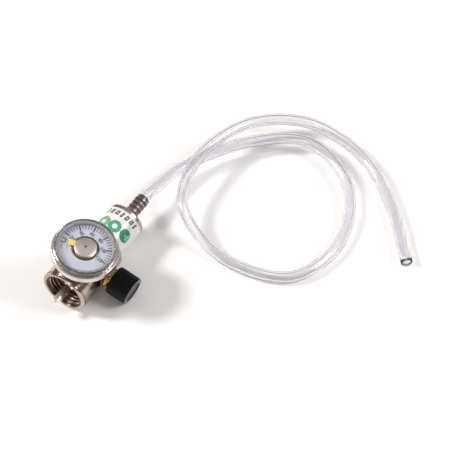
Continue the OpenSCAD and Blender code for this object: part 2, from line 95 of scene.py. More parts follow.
def stitch(bm, rings, closed=True):
    """Joins neighbouring rings of vertices with quads."""
    for low, high in zip(rings, rings[1:]):
        count = len(low)
        for k in range(count if closed else count - 1):
            j = (k + 1) % count
            bm.faces.new((low[k], low[j], high[j], high[k]))


def lathe(name, outline, place, segments=144, closed=True, sharp=35.0):
    """Revolves an outline of (radius, z) points round local Z. A closed outline makes a ring."""
    bm = bmesh.new()
    rings = []
    for radius, z in outline:
        if radius < 1e-6:
            rings.append([bm.verts.new((0, 0, z))])
        else:
            rings.append([bm.verts.new((radius * math.cos(2 * math.pi * k / segments),
                radius * math.sin(2 * math.pi * k / segments), z)) for k in range(segments)])
    pairs = list(zip(rings, rings[1:] + ([rings[0]] if closed else [])))
    for low, high in pairs:
        if len(low) == 1 and len(high) == 1:
            continue
        for k in range(segments):
            j = (k + 1) % segments
            if len(low) == 1:
                bm.faces.new((low[0], high[j], high[k]))
            elif len(high) == 1:
                bm.faces.new((low[k], low[j], high[0]))
            else:
                bm.faces.new((low[k], low[j], high[j], high[k]))
    return finish_mesh(name, bm, place, sharp)


def arc(centre_r, centre_z, radius, start, end, steps=6):
    """Points of a rounded corner in a lathe outline, from one angle to another in degrees."""
    return [(centre_r + radius * math.cos(math.radians(start + (end - start) * i / steps)),
        centre_z + radius * math.sin(math.radians(start + (end - start) * i / steps)))
        for i in range(steps + 1)]


# --------------------------------------------------------------- materials

class Shader:
    """A material under construction, with short helpers for its nodes."""

    def __init__(self, name, **values):
        self.material = bpy.data.materials.new(name)
        self.material.use_nodes = True
        self.tree = self.material.node_tree
        self.tree.nodes.clear()
        self.out = self.tree.nodes.new("ShaderNodeOutputMaterial")
        self.surface = self.node("ShaderNodeBsdfPrincipled", **values)
        self.link(self.surface.outputs[0], self.out.inputs["Surface"])

    def node(self, kind, props=None, **values):
        node = self.tree.nodes.new(kind)
        for key, value in (props or {}).items():
            setattr(node, key, value)
        for key, value in values.items():
            self.put(node.inputs[key.replace("_", " ")], value)
        return node

    def put(self, socket, value):
        if isinstance(value, bpy.types.NodeSocket):
            self.tree.links.new(value, socket)
        elif isinstance(value, (tuple, list)) and len(value) == 3 and socket.type == "RGBA":
            socket.default_value = (*value, 1)
        else:
            socket.default_value = value

    def link(self, output, socket):
        self.tree.links.new(output, socket)

    def math(self, operation, a, b=0.0, clamp=False):
        node = self.tree.nodes.new("ShaderNodeMath")
        node.operation = operation
        node.use_clamp = clamp
        self.put(node.inputs[0], a)
        self.put(node.inputs[1], b)
        return node.outputs[0]

    def local(self, place=Matrix.Identity(4)):
        """Coordinates in millimetres in a local frame of the part."""
        source = self.node("ShaderNodeTexCoord").outputs["Object"]
        mapping = self.node("ShaderNodeMapping", {"vector_type": "TEXTURE"})
        mapping.inputs["Location"].default_value = place.translation
        mapping.inputs["Rotation"].default_value = place.to_euler()
        mapping.inputs["Scale"].default_value = (MM, MM, MM)
        self.link(source, mapping.inputs["Vector"])
        return mapping.outputs[0]

    def polar(self, coords):
        """Angle, radius and height round local Z."""
        parts = self.node("ShaderNodeSeparateXYZ", Vector=coords).outputs
        angle = self.math("ARCTAN2", parts[1], parts[0])
        squares = self.math("ADD", self.math("POWER", parts[0], 2.0),
            self.math("POWER", parts[1], 2.0))
        return angle, self.math("SQRT", squares), parts[2]

    def noise(self, coords, scale, detail=2.0, roughness=0.5):
        node = self.node("ShaderNodeTexNoise", Vector=coords, Scale=scale, Detail=detail, Roughness=roughness)
        return node.outputs[0]

    def stretch(self, x, y, z):
        return self.node("ShaderNodeCombineXYZ", X=x, Y=y, Z=z).outputs[0]

    def fade(self, value, low, high, out_low, out_high):
        node = self.node("ShaderNodeMapRange", {"clamp": True})
        for socket, number in zip(node.inputs, (value, low, high, out_low, out_high)):
            self.put(socket, number)
        return node.outputs[0]

    def mix(self, factor, a, b):
        node = self.node("ShaderNodeMix", {"data_type": "RGBA"})
        self.put(node.inputs[0], factor)
        self.put(node.inputs[6], a)
        self.put(node.inputs[7], b)
        return node.outputs[2]

    def bump(self, height, distance, strength=1.0, normal=None):
        node = self.node("ShaderNodeBump", Height=height, Distance=distance, Strength=strength)
        if normal is not None:
            self.link(normal, node.inputs["Normal"])
        return node.outputs[0]

    def rounded(self, radius):
        node = self.node("ShaderNodeBevel", {"samples": 4}, Radius=radius)
        return node.outputs[0]

    def light_through(self, tint):
        """Lets light through for shadow rays, so a clear piece casts only a faint shadow."""
        clear = self.node("ShaderNodeBsdfTransparent", Color=tint)
        path = self.node("ShaderNodeLightPath")
        mix = self.node("ShaderNodeMixShader")
        self.link(path.outputs["Is Shadow Ray"], mix.inputs[0])
        self.link(self.surface.outputs[0], mix.inputs[1])
        self.link(clear.outputs[0], mix.inputs[2])
        self.link(mix.outputs[0], self.out.inputs["Surface"])


def metal(name, colour, deep, roughness, place, marks=0.5, edge=0.12, bore=None, groove_shade=None):
    """Turned and plated metal: fine turning rings, faint scratches, smudges and soft edges.
    A bore (radius, depth, pitch) is painted dark inside as shade, with every other crest of its thread picked
    out by a painted highlight.
    Groove shade (low radius, high radius, colour) paints grooves below a radius darker, as painted shade."""
    s = Shader(name, Metallic=1.0)
    coords = s.local(place)
    angle, radius, height = s.polar(coords)
    rings = s.noise(s.stretch(s.math("MULTIPLY", angle, 0.5), s.math("MULTIPLY", radius, 5.0),
        s.math("MULTIPLY", height, 5.0)), 1.0, 3.0)
    smudge = s.noise(coords, 0.16, 3.0, 0.6)
    scratch = s.noise(s.stretch(s.math("MULTIPLY", angle, 14.0), s.math("MULTIPLY", radius, 0.35),
        s.math("MULTIPLY", height, 0.35)), 1.0, 2.0)
    tone = s.mix(s.fade(smudge, 0.35, 0.7, 0.0, 1.0), colour, deep)
    if bore:
        wall, depth, pitch = bore
        inside = s.math("MULTIPLY", s.fade(radius, wall - 0.25, wall, 1.0, 0.0),
            s.fade(height, depth, depth + 0.5, 1.0, 0.0))
        wave = s.math("COSINE", s.math("MULTIPLY", height, 2 * math.pi / pitch))
        # Painted shade inside the bore, and painted highlights on every other thread crest
        bore_shade_and_crest_glints = s.mix(s.fade(wave, 0.0, 0.8, 0.0, 1.0), (0.09, 0.05, 0.03), (0.95, 0.80, 0.70))
        tone = s.mix(inside, tone, bore_shade_and_crest_glints)
    # Painted shade: grooves below the given radius are coloured darker
    if groove_shade:
        tone = s.mix(s.fade(radius, groove_shade[0], groove_shade[1], 1.0, 0.0), tone, groove_shade[2])
    s.put(s.surface.inputs["Base Color"], tone)
    rough = s.math("ADD", s.fade(smudge, 0.3, 0.75, roughness - 0.04, roughness + 0.07),
        s.fade(scratch, 0.6, 0.8, 0.0, 0.06))
    s.put(s.surface.inputs["Roughness"], rough)
    soft = s.rounded(edge * MM)
    s.put(s.surface.inputs["Normal"], s.bump(rings, 0.012 * MM, marks, soft))
    return s.material


def rubber(name):
    s = Shader(name, Base_Color=(0.025, 0.025, 0.027), Roughness=0.55)
    coords = s.local()
    s.put(s.surface.inputs["Roughness"], s.fade(s.noise(coords, 1.2), 0.3, 0.7, 0.45, 0.65))
    s.put(s.surface.inputs["Normal"], s.bump(s.noise(coords, 6.0), 0.02 * MM, 0.4))
    return s.material


def plain_plastic(name, colour, roughness):
    s = Shader(name, Base_Color=colour, Roughness=roughness)
    coords = s.local()
    s.put(s.surface.inputs["Base Color"], s.mix(s.noise(coords, 0.5), colour, [c * 0.93 for c in colour]))
    s.put(s.surface.inputs["Normal"], s.bump(s.noise(coords, 4.0), 0.01 * MM, 0.4))
    return s.material


def sintered(name):
    """Grainy sintered bronze."""
    s = Shader(name, Metallic=1.0, Roughness=0.5)
    coords = s.local()
    grains = s.node("ShaderNodeTexVoronoi", Vector=coords, Scale=2.5).outputs[0]
    s.put(s.surface.inputs["Base Color"], s.mix(grains, (0.55, 0.38, 0.2), (0.25, 0.16, 0.08)))
    s.put(s.surface.inputs["Normal"], s.bump(grains, 0.15 * MM, 0.8))
    return s.material


def black_knob(name):
    """Black anodised finish with a soft sheen, a little dust and paler rubbed crests; the end face is
    coloured lighter grey as a painted reflection.
    """
    s = Shader(name, Roughness=0.3)
    coords = s.local(KNOB)
    angle, radius, height = s.polar(coords)
    dust = s.noise(coords, 0.6, 4.0, 0.7)
    crest = s.fade(radius, KNOB_R - 0.12, KNOB_R, 0.0, 1.0)
    rub = s.math("MULTIPLY", crest, s.fade(dust, 0.55, 0.8, 0.0, 0.4))
    face = s.fade(height, KNOB_HIGH - 0.3, KNOB_HIGH - 0.1, 0.0, 1.0)
    barrel = s.mix(rub, (0.003, 0.003, 0.0035), (0.09, 0.085, 0.085))
    # Painted reflection: the end face gets a lighter grey than the barrel's black finish
    s.put(s.surface.inputs["Base Color"], s.mix(face, barrel, (0.07, 0.068, 0.07)))
    rough = s.fade(dust, 0.3, 0.8, 0.16, 0.34)
    s.put(s.surface.inputs["Roughness"], s.math("MULTIPLY", rough, s.fade(face, 0.0, 1.0, 1.0, 0.6)))
    s.put(s.surface.inputs["Specular IOR Level"], s.fade(face, 0.0, 1.0, 0.16, 0.8))
    rings = s.noise(s.stretch(s.math("MULTIPLY", angle, 0.4), s.math("MULTIPLY", radius, 4.0), height), 1.0)
    s.put(s.surface.inputs["Normal"], s.bump(rings, 0.01 * MM, 0.5, s.rounded(0.05 * MM)))
    return s.material


def clear_pvc(name, length):
    """Soft clear PVC: grey extrusion lines along the hose, painted shade on its outlines where it is seen
    edge-on, dust haze.
    The cut face at the full length is frosted, with a painted dark outer edge in place of the shade that
    refraction gives it."""
    s = Shader(name, IOR=1.5)
    straight = s.node("ShaderNodeAttribute", {"attribute_name": "straight"}).outputs["Vector"]
    parts = s.node("ShaderNodeSeparateXYZ", Vector=straight).outputs
    drawn = s.stretch(parts[0], parts[1], s.math("MULTIPLY", parts[2], 0.012))
    lines = s.fade(s.noise(drawn, 0.75, 2.0), 0.44, 0.62, 0.0, 1.0)
    tone = s.mix(lines, (0.99, 0.985, 0.995), (0.84, 0.833, 0.87))
    facing = s.node("ShaderNodeLayerWeight", Blend=0.5).outputs["Facing"]
    # Painted shade: the tube is coloured darker where it is seen edge-on, in place of the dark outlines
    # refraction gives it
    tone = s.mix(s.fade(facing, 0.6, 0.98, 0.0, 1.0), tone, (0.56, 0.545, 0.60))
    cut = s.fade(parts[2], length - 0.03, length - 0.01, 0.0, 1.0)
    radius = s.polar(straight)[1]
    # Painted shade: the cut face is near black outside a thin pale frosted inner edge
    frosted_face_painted_dark_rim = s.mix(s.fade(radius, 2.6, 2.8, 0.0, 1.0), (0.72, 0.72, 0.78), (0.02, 0.022, 0.045))
    s.put(s.surface.inputs["Base Color"], s.mix(cut, tone, frosted_face_painted_dark_rim))
    s.put(s.surface.inputs["Transmission Weight"], s.math("SUBTRACT", 1.0, cut))
    s.put(s.surface.inputs["Roughness"], s.fade(s.noise(s.local(), 0.7, 4.0, 0.6), 0.35, 0.8, 0.06, 0.10))
    wall = s.node("ShaderNodeVolumeAbsorption", Color=(0.50, 0.48, 0.55), Density=31.0)
    s.link(wall.outputs[0], s.out.inputs["Volume"])
    s.light_through((0.475, 0.473, 0.485))
    return s.material


def clear_lens(name):
    """Moulded polycarbonate with hairline scratches and a slightly worn rim."""
    s = Shader(name, Base_Color=(0.985, 0.99, 1.0), IOR=1.56, Transmission_Weight=1.0)
    coords = s.local(GAUGE)
    angle, radius, height = s.polar(coords)
    drawn = s.stretch(s.math("MULTIPLY", angle, 3.0), s.math("MULTIPLY", radius, 3.0), height)
    hair = s.noise(drawn, 2.0, 4.0)
    lens_r = span("gauge_lens", GAUGE)[2]
    worn_rim = s.fade(radius, lens_r - 1.2, lens_r - 0.6, 0.0, 0.12)
    s.put(s.surface.inputs["Roughness"], s.math("ADD", s.fade(hair, 0.55, 0.8, 0.015, 0.09), worn_rim))
    s.put(s.surface.inputs["Normal"], s.bump(s.noise(coords, 0.15), 0.05 * MM, 0.5))
    s.light_through((0.93, 0.935, 0.95))
    return s.material


def dial_paint(name):
    """Pale blue-white printed plate."""
    s = Shader(name, Roughness=0.35)
    coords = s.local(GAUGE)
    grain = s.noise(coords, 3.0, 3.0)
    s.put(s.surface.inputs["Base Color"], s.mix(grain, (0.33, 0.34, 0.385), (0.38, 0.385, 0.425)))
    s.put(s.surface.inputs["Normal"], s.bump(grain, 0.01 * MM, 0.4))
    return s.material


def ink(name, colour):
    """Printed ink, slightly uneven."""
    s = Shader(name, Roughness=0.45)
    cover = s.noise(s.local(), 2.5, 3.0)
    s.put(s.surface.inputs["Base Color"], s.mix(cover, colour, [min(1.0, c * 1.25 + 0.01) for c in colour]))
    return s.material


def label_film(name):
    """Glossy white vinyl with a faint orange-peel surface."""
    s = Shader(name, Roughness=0.18)
    coords = s.local(AXIS_X)
    tone = s.mix(s.noise(coords, 0.3), (0.86, 0.86, 0.85), (0.80, 0.80, 0.78))
    s.put(s.surface.inputs["Base Color"], tone)
    s.put(s.surface.inputs["Normal"], s.bump(s.noise(coords, 1.6), 0.03 * MM, 0.35))
    s.put(s.surface.inputs["Coat Weight"], 0.4)
    return s.material


def painted_pointer(name):
    s = Shader(name, Roughness=0.35)
    coords = s.local(GAUGE)
    tone = s.mix(s.noise(coords, 1.5), (0.83, 0.48, 0.07), (0.72, 0.38, 0.04))
    s.put(s.surface.inputs["Base Color"], tone)
    s.put(s.surface.inputs["Normal"], s.bump(s.noise(coords, 5.0), 0.01 * MM, 0.5))
    return s.material


def satin_ring(name):
    """Dark grey satin enamel with a fine orange peel; the dark grey is painted shade for the band round the
    dial's edge.
    """
    s = Shader(name, Roughness=0.28)
    coords = s.local(GAUGE)
    # Painted shade: the ring is coloured dark grey for the shade round the dial's edge
    tone = s.mix(s.noise(coords, 0.8), (0.17, 0.165, 0.18), (0.215, 0.21, 0.225))
    s.put(s.surface.inputs["Base Color"], tone)
    s.put(s.surface.inputs["Normal"], s.bump(s.noise(coords, 2.5), 0.02 * MM, 0.4))
    s.put(s.surface.inputs["Coat Weight"], 0.3)
    return s.material


# ------------------------------------------------------------------ pieces

def dress(node, material):
    """Gives a CAD node its material."""
    obj = frame["nodes"][node]
    obj.data.materials.clear()
    obj.data.materials.append(material)


def add(obj, material, body, slot, *nodes):
    """Gives a new piece its material and body, and hides the CAD nodes it takes the place of."""
    obj.data.materials.clear()
    obj.data.materials.append(material)
    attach(obj, body)
    if nodes:
        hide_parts(*nodes)
    return obj


KNOB_LOW, KNOB_HIGH, KNOB_R = span("knob", KNOB)


def knob_shell():
    """Knurled barrel with plain bands, bevelled rims and a dished end."""
    band = 1.1
    depth = 0.22
    columns = 288
    teeth = 48
    slant = 0.42
    rows = 44
    low = KNOB_LOW + band
    high = KNOB_HIGH - band
    recess_r = 5.4
    recess = 1.2
    corner = 0.7
    rim_w = 2.4
    dish_slope = 0.35
    dish_depth = 0.45
    bm = bmesh.new()

    def loop(radius_at, z):
        return [bm.verts.new((radius_at(k) * math.cos(2 * math.pi * k / columns),
            radius_at(k) * math.sin(2 * math.pi * k / columns), z)) for k in range(columns)]

    def knurl(k, z):
        turn = teeth * k / columns
        left = abs((turn + slant * (z - low)) % 1 - 0.5)
        right = abs((turn - slant * (z - low)) % 1 - 0.5)
        return KNOB_R - depth * 2 * max(0.0, 0.5 - min(left, right) * 2.2)

    plain = KNOB_R - 0.05
    rings = [loop(lambda k: recess_r, KNOB_LOW + recess), loop(lambda k: recess_r, KNOB_LOW)]
    for radius, z in arc(plain - corner, KNOB_LOW + corner, corner, -90, 0, 5):
        rings.append(loop(lambda k, r=radius: r, z))
    rings.append(loop(lambda k: plain, low - 0.02))
    for row in range(rows + 1):
        z = low + (high - low) * row / rows
        rings.append(loop(lambda k, z=z: knurl(k, z), z))
    rings.append(loop(lambda k: plain, high + 0.02))
    for radius, z in arc(plain - corner, KNOB_HIGH - corner, corner, 0, 90, 5):
        rings.append(loop(lambda k, r=radius: r, z))
    dish_r = KNOB_R - rim_w
    for radius, z in ((dish_r, KNOB_HIGH), (dish_r - dish_slope, KNOB_HIGH - dish_depth)):
        rings.append(loop(lambda k, r=radius: r, z))
    stitch(bm, rings)
    bm.faces.new(rings[-1])
    bm.faces.new(list(reversed(rings[0])))
    return finish_mesh("knob_shell", bm, KNOB, 50)


def lens_shell():
    """Clear cap: flat window, rounded rim and a deep skirt over the black seal."""
    low, high, radius = span("gauge_lens", GAUGE)
    inner = radius - 0.86
    window = high - 1.0
    rim = 0.8
    outline = [(0, window), (inner - 0.2, window), (inner, window - 0.2), (inner, low), (radius - 0.2, low),
        (radius, low + 0.2)]
    outline += arc(radius - rim, high - rim, rim, 0, 90, 8) + [(0, high)]
    return lathe("lens_shell", outline, GAUGE, 160, closed=False, sharp=30)


def cap_shell():
    """Shallow spun cone with a rounded rim and a small blind hole in its middle."""
    low, high, radius = span("pointer_cap", GAUGE)
    hole = 0.85
    outline = [(0, low + 0.1), (radius - 0.4, low), (radius - 0.2, low)]
    outline += arc(radius - 0.2, low + 0.2, 0.2, -60, 60, 4)
    outline += [(radius * 0.75, high - 0.66), (radius * 0.5, high - 0.36), (radius * 0.28, high - 0.12)]
    outline += [(hole + 0.35, high - 0.01), (hole + 0.08, high), (hole, high - 0.08), (hole, low + 0.4)]
    outline += [(0, low + 0.4)]
    return lathe("cap_shell", outline, GAUGE, 128, closed=False, sharp=50)


def pivot_end():
    """Black disc just inside the top of the cap's hole: painted shade for the hole's dark centre."""
    high = span("pointer_cap", GAUGE)[1]
    radius = 0.84
    outline = [(0, high - 0.09), (radius, high - 0.09), (radius, high - 0.05),
        (0.5, high - 0.03), (0, high - 0.03)]
    return lathe("pivot_end", outline, GAUGE, 32, closed=False, sharp=30)


def spring_coil():
    """Compression spring round the piston's stem."""
    low, high, radius = span("main_spring", AXIS_X)
    wire = 0.7
    turns = 4
    steps = 200
    sides = 14
    bm = bmesh.new()
    rings = []
    for i in range(steps + 1):
        a = 2 * math.pi * turns * i / steps
        z = low + wire + (high - low - 2 * wire) * i / steps
        ring = []
        for k in range(sides):
            b = 2 * math.pi * k / sides
            r = radius - wire + wire * math.cos(b)
            ring.append(bm.verts.new((r * math.cos(a), r * math.sin(a), z + wire * math.sin(b))))
        rings.append(ring)
    stitch(bm, rings)
    bm.faces.new(rings[0])
    bm.faces.new(list(reversed(rings[-1])))
    return finish_mesh("spring_coil", bm, AXIS_X, 50)


def build_spring(material):
    """Builds the spring coil in place of the CAD spring, fixed to the regulator."""
    coil = add(spring_coil(), material, "regulator", "spring_steel", "main_spring")
    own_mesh(coil)


# The hose's path in mm: the same few points as the CAD hose, joined by the same curve
HOSE_PATH = [(93.8, 0, 0), (132, -6, -4.4), (171, -30, -4), (195, -66, -5.4), (178, -106, -9.4),
    (136, -124, -11.8), (95, -111, -11.9), (84, -67, -11.6), (98, -26, -0.4),
    (137, -13.5, 4.9), (183, -25, 1.2), (209, -59, -3.7), (205, -103, -8.4),
    (180, -139, -11.4), (155.1, -161.2, -11.9)]
HOSE_R = 3.97
HOSE_IN = 2.38
TAIL = 12.0


def curve_point(points, t):
    """Point on the smooth curve through the points; t counts points."""
    i = min(int(t), len(points) - 2)
    u = t - i
    b, c = points[i], points[i + 1]
    a = points[i - 1] if i else 2 * b - c
    d = points[i + 2] if i + 2 < len(points) else 2 * c - b
    point = (2 * b + (c - a) * u + (2 * a - 5 * b + 4 * c - d) * u ** 2
        + (3 * b - a - 3 * c + d) * u ** 3) / 2
    point.z = max(point.z, FLOOR_Z / MM + HOSE_R)
    return point


def sleeve_stations():
    """The stretched end over the barb: it grips the ridges, then narrows to the plain hose."""
    mouth = span("hose", AXIS_X)[0]
    barb_end = span("hose_barb", AXIS_X)[1]
    end = HOSE_PATH[0][0]
    steps = 64
    stretch = 0.88
    ridge_depth = 0.45
    ridge_pitch = 3.5
    grip_r = 2.68
    stations = [(Vector((mouth, 0, 0)), HOSE_R + 0.7, 2.9),
        (Vector((mouth + 0.25, 0, 0)), HOSE_R + 0.86, 2.7)]
    for i in range(1, steps):
        x = mouth + (end - mouth) * i / steps
        swell = 1 / (1 + math.exp((x - barb_end + 0.1) * 2.2))
        wave = (math.cos(2 * math.pi * (x - barb_end) / ridge_pitch) - 1) / 2
        grip = HOSE_IN + (grip_r - HOSE_IN) / (1 + math.exp((x - barb_end - 0.6) * 4))
        stations.append((Vector((x, 0, 0)), HOSE_R + stretch * swell + ridge_depth * wave * swell, grip))
    return stations


def hose_stations(fine=26):
    """(centre, outer radius, inner radius) along the hose, from the barb to the cut end."""
    points = [Vector(p) for p in HOSE_PATH]
    stations = sleeve_stations()
    last = len(points) - 1
    for i in range(last * fine + 1):
        stations.append((curve_point(points, i / fine), HOSE_R, HOSE_IN))
    way = stations[-1][0] - curve_point(points, last - 0.2)
    way.z = 0
    way.normalize()
    base = stations[-1][0].copy()
    for distance in (3, 6, 9, TAIL - 0.2, TAIL):
        trim = 0.2 if distance == TAIL else 0.0
        stations.append((base + way * distance, HOSE_R - trim, HOSE_IN + trim * 0.5))
    return stations


def hose_length():
    """Length of the hose's centre line in mm."""
    centres = [station[0] for station in hose_stations()]
    return sum((b - a).length for a, b in zip(centres, centres[1:]))


def hose_tube():
    """Clear tube swept along the path with an upright frame that never twists."""
    sides = 48
    stations = hose_stations()
    bm = bmesh.new()
    straight = bm.verts.layers.float_vector.new("straight")
    outer, inner = [], []
    along = 0.0
    for i, (centre, out_r, in_r) in enumerate(stations):
        before = stations[max(i - 1, 0)][0]
        after = stations[min(i + 1, len(stations) - 1)][0]
        along += (centre - before).length
        way = (after - before).normalized()
        side = Vector((0, 0, 1)).cross(way).normalized()
        up = way.cross(side)
        for rings, radius in ((outer, out_r), (inner, in_r)):
            ring = []
            for k in range(sides):
                x = radius * math.cos(2 * math.pi * k / sides)
                y = radius * math.sin(2 * math.pi * k / sides)
                ring.append(bm.verts.new(centre + side * x + up * y))
                ring[-1][straight] = (x, y, along)
            rings.append(ring)
    stitch(bm, outer)
    stitch(bm, inner)
    stitch(bm, [outer[0], inner[0]])
    stitch(bm, [outer[-1], inner[-1]])
    return finish_mesh("hose_tube", bm, Matrix.Identity(4), 60)


# ------------------------------------------------------------------- prints

DIAL_TOP = span("dial", GAUGE)[1]
ZERO_MARK = 104.0
SCALE_START = 121.0
MAJOR_STEP = 36.0
MAJORS = 6


def prism(bm, corners, low, high):
    """Thin upright prism on a polygon of (x, y) corners."""
    bottom = [bm.verts.new((x, y, low)) for x, y in corners]
    top = [bm.verts.new((x, y, high)) for x, y in corners]
    count = len(corners)
    for k in range(count):
        j = (k + 1) % count
        bm.faces.new((bottom[k], bottom[j], top[j], top[k]))
    bm.faces.new(list(reversed(bottom)))
    bm.faces.new(top)


def tick(bm, angle, inner, outer, width):
    """Radial bar on the dial."""
    a = math.radians(angle)
    out = Vector((math.cos(a), math.sin(a)))
    side = Vector((-out.y, out.x)) * width / 2
    corners = [out * inner - side, out * outer - side, out * outer + side, out * inner + side]
    prism(bm, [(c.x, c.y) for c in corners], DIAL_TOP, DIAL_TOP + 0.04)


def dial_marks():
    """Major and minor ticks, and the bracket that frames the zero stop."""
    major_in = 12.9
    minor_in = 13.8
    tick_out = 16.7
    bm = bmesh.new()
    for step in range(5, MAJORS * 5 + 1):
        major = step % 5 == 0
        angle = SCALE_START - MAJOR_STEP * step / 5
        tick(bm, angle, major_in if major else minor_in, tick_out, 1.0 if major else 0.5)
    for offset in (-5, 5):
        tick(bm, ZERO_MARK + offset, major_in, 16.4, 0.65)
    tick(bm, ZERO_MARK, major_in, 13.6, 2.9)
    return finish_mesh("dial_marks", bm, GAUGE)


def dial_number(value, angle):
    """A number as a thin solid, upright to the gauge's own 12 o'clock direction."""
    size = 3.3
    curve = bpy.data.curves.new(f"number_{value}", "FONT")
    curve.body = str(value)
    curve.size = size
    curve.align_x = "CENTER"
    curve.align_y = "CENTER"
    curve.offset = 0.1
    curve.extrude = 0.02
    temp = bpy.data.objects.new(f"number_{value}", curve)
    bpy.context.scene.collection.objects.link(temp)
    bpy.context.view_layer.update()
    mesh = bpy.data.meshes.new_from_object(temp.evaluated_get(bpy.context.evaluated_depsgraph_get()))
    bpy.data.objects.remove(temp)
    a = math.radians(angle)
    radius = 11.0
    upright = Matrix.Rotation(math.radians(SCALE_START - 135 - 90), 4, "Z")
    place = Matrix.Translation((radius * math.cos(a), radius * math.sin(a), DIAL_TOP + 0.02)) @ upright
    mesh.transform(GAUGE @ Matrix.Diagonal((MM, MM, MM, 1)) @ place)
    obj = bpy.data.objects.new(f"dial_number_{value}", mesh)
    bpy.context.scene.collection.objects.link(obj)
    return obj


def zero_arc():
    """Short red arcs by the zero mark, in place of small print."""
    bm = bmesh.new()
    arcs = ((112, 128, 14.6, 15.1), (113, 126, 11.0, 11.35), (113, 124, 9.4, 9.75))
    for start, end, inner, outer in arcs:
        count = 12
        angles = [math.radians(start + (end - start) * i / count) for i in range(count + 1)]
        ring = [(outer * math.cos(a), outer * math.sin(a)) for a in angles]
        ring += [(inner * math.cos(a), inner * math.sin(a)) for a in reversed(angles)]
        prism(bm, ring, DIAL_TOP, DIAL_TOP + 0.03)
    return finish_mesh("zero_arc", bm, GAUGE)


def wrap(points, radius):
    """Bends flat (along, around) millimetres on to the label's cylinder."""
    return [(radius * math.cos(v / radius), radius * math.sin(v / radius), u) for u, v in points]


def patch(name, rings, lift):
    """Printed patch on the label: nested outlines in (along, around) mm, filled between them."""
    label_r = span("label", AXIS_X)[2]
    bm = bmesh.new()
    loops = {}
    for side, radius in (("low", label_r + 0.005), ("high", label_r + lift)):
        loops[side] = [[bm.verts.new(p) for p in wrap(ring, radius)] for ring in rings]
        stitch(bm, loops[side])
    stitch(bm, [loops["low"][0], loops["high"][0]])
    stitch(bm, [loops["low"][-1], loops["high"][-1]])
    return finish_mesh(name, bm, AXIS_X)


def disc_rings(centre, inner, outer, count=48, layers=8):
    """Outlines from an inner to an outer circle."""
    rings = []
    for layer in range(layers + 1):
        radius = inner + (outer - inner) * layer / layers
        rings.append([(centre[0] + radius * math.cos(2 * math.pi * k / count),
            centre[1] + radius * math.sin(2 * math.pi * k / count)) for k in range(count)])
    return rings


# -------------------------------------------------------------------- build

def dress_nodes():
    nickel = metal("nickel_body", (0.52, 0.445, 0.40), (0.415, 0.335, 0.295), 0.19, AXIS_X,
        bore=(13.55, 16, 2.54))
    bonnet = metal("nickel_bonnet", (0.62, 0.55, 0.50), (0.50, 0.42, 0.37), 0.26, AXIS_X)
    case = metal("nickel_case", (0.68, 0.635, 0.595), (0.60, 0.55, 0.50), 0.26, GAUGE)
    probe = metal("nickel_probe", (0.95, 0.91, 0.86), (0.88, 0.82, 0.75), 0.24, AXIS_X)
    brass = metal("brass_gland", (0.80, 0.56, 0.20), (0.66, 0.42, 0.12), 0.2, KNOB)
    gauge_brass = metal("brass_stem", (0.80, 0.56, 0.20), (0.66, 0.42, 0.12), 0.2, GAUGE)
    bronze = metal("bronze_coil", (0.72, 0.48, 0.20), (0.55, 0.34, 0.12), 0.28, GAUGE)
    steel = metal("turned_steel", (0.62, 0.62, 0.64), (0.52, 0.52, 0.54), 0.25, AXIS_X)
    wire = metal("spring_wire", (0.45, 0.46, 0.49), (0.36, 0.36, 0.38), 0.3, AXIS_X)
    # The barb's grooves get painted shade
    barb = metal("barb_plate", (0.37, 0.31, 0.31), (0.25, 0.20, 0.205), 0.34, AXIS_X,
        groove_shade=(2.8, 3.1, (0.15, 0.12, 0.14)))
    black = rubber("black_nitrile")
    seat = plain_plastic("seat_plastic", (0.85, 0.84, 0.78), 0.4)
    dress("valve_body", nickel)
    dress("outlet_bonnet", bonnet)
    dress("dial_retainer", satin_ring("ring_enamel_painted_shade"))
    # The black lens_seal behind the lens skirt stands in for the shade and dark reflection seen in the band
    # round the gauge
    for node in ("socket_gasket", "stem_oring", "gland_oring", "bonnet_oring",
            "piston_stem_oring", "piston_head_oring", "lens_seal"):
        dress(node, black)
    for node in ("valve_seat", "piston_seat"):
        dress(node, seat)
    for node in ("valve_stem", "piston", "knob_set_screw"):
        dress(node, steel)
    dress("case_clip", wire)
    build_spring(wire)
    dress("gauge_case", case)
    dress("inlet_probe", probe)
    dress("valve_gland", brass)
    dress("gauge_stem", gauge_brass)
    dress("flow_orifice", gauge_brass)
    dress("bourdon_coil", bronze)
    dress("hose_barb", barb)
    dress("inlet_filter", sintered("sintered_bronze"))
    dress("dial", dial_paint("dial_paint"))
    dress("pointer", painted_pointer("pointer_paint"))
    dress("label", label_film("label_film"))


def build_gauge():
    add(lens_shell(), clear_lens("lens_plastic"), "regulator", "clear_lens", "gauge_lens")
    cap = metal("spun_cap", (0.59, 0.50, 0.475), (0.50, 0.41, 0.38), 0.4, GAUGE, 0.9)
    add(cap_shell(), cap, "gauge_pointer", "cap_metal", "pointer_cap")
    # Painted shade: a black disc makes the cap's hole read dark
    dark = ink("painted_hole_shade", (0.02, 0.016, 0.015))
    add(pivot_end(), dark, "gauge_pointer", "dark_steel")
    slate = ink("slate_ink", (0.010, 0.013, 0.020))
    add(dial_marks(), slate, "regulator", "dial_face")
    for i in range(1, MAJORS + 1):
        add(dial_number(20 * i, SCALE_START - MAJOR_STEP * i), slate, "regulator", "dial_face")
    add(zero_arc(), ink("red_ink", (0.55, 0.09, 0.09)), "regulator", "dial_face")


def label_spot(along, turn):
    """Label position in mm from its distance along the body and its angle from the top."""
    return along, span("label", AXIS_X)[2] * math.radians(180 + turn)


def slanted(centre, length, width, lean=0.8):
    """Corners of a small leaning box on the label, and the same box shrunk."""
    x, y = centre
    box = [(x - length / 2, y + width / 2 - lean / 2), (x + length / 2, y + width / 2 + lean / 2),
        (x + length / 2, y - width / 2 + lean / 2), (x - length / 2, y - width / 2 - lean / 2)]
    return box, [(x + (px - x) * 0.42, y + (py - y) * 0.3) for px, py in box]


